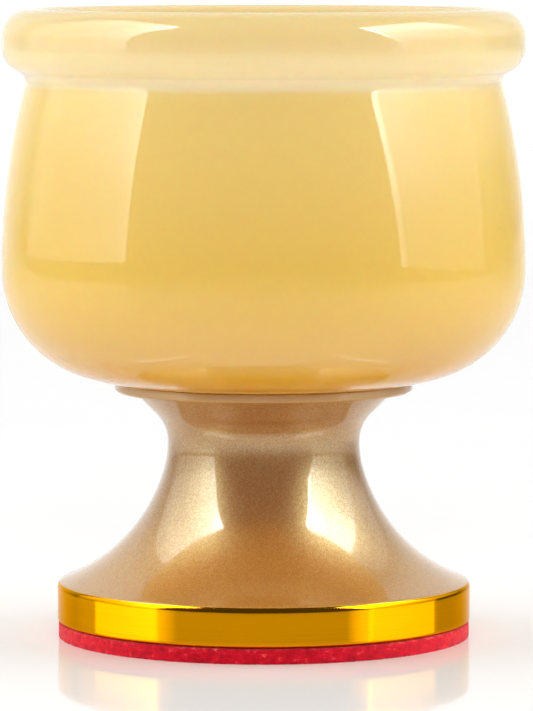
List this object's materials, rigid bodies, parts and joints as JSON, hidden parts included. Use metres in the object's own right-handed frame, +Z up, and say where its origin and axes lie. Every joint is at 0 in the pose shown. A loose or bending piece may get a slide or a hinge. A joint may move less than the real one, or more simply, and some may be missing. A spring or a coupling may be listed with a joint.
{
  "type": "offering cup",
  "caption": "Footed offering cup: opal yellow glass bowl with a rolled rim, bonded to a metal tray and clamped to a turned gold pedestal with a polished band and a red felt pad.",
  "frame": {"origin": "centre of the underside of the foot pad, on the surface that the cup stands on", "axes": "+Z up along the turning axis of the cup, X and Y arbitrary because every visible piece is turned"},
  "size_m": [0.0656, 0.0656, 0.0787],
  "materials": {
    "opal_glass": "gloss",
    "clear_adhesive": "gloss",
    "satin_gold": "satin",
    "zinc_steel": "satin",
    "adhesive_film": "matte",
    "red_felt": "matte"
  },
  "bodies": {
    "root": {"bowl": "opal_glass", "bond_disc": "clear_adhesive", "tray": "satin_gold", "pedestal": "satin_gold", "clamp_screw": "zinc_steel", "spring_washer": "zinc_steel", "flat_washer": "zinc_steel", "pad_adhesive": "adhesive_film", "foot_pad": "red_felt"}
  },
  "joints": []
}
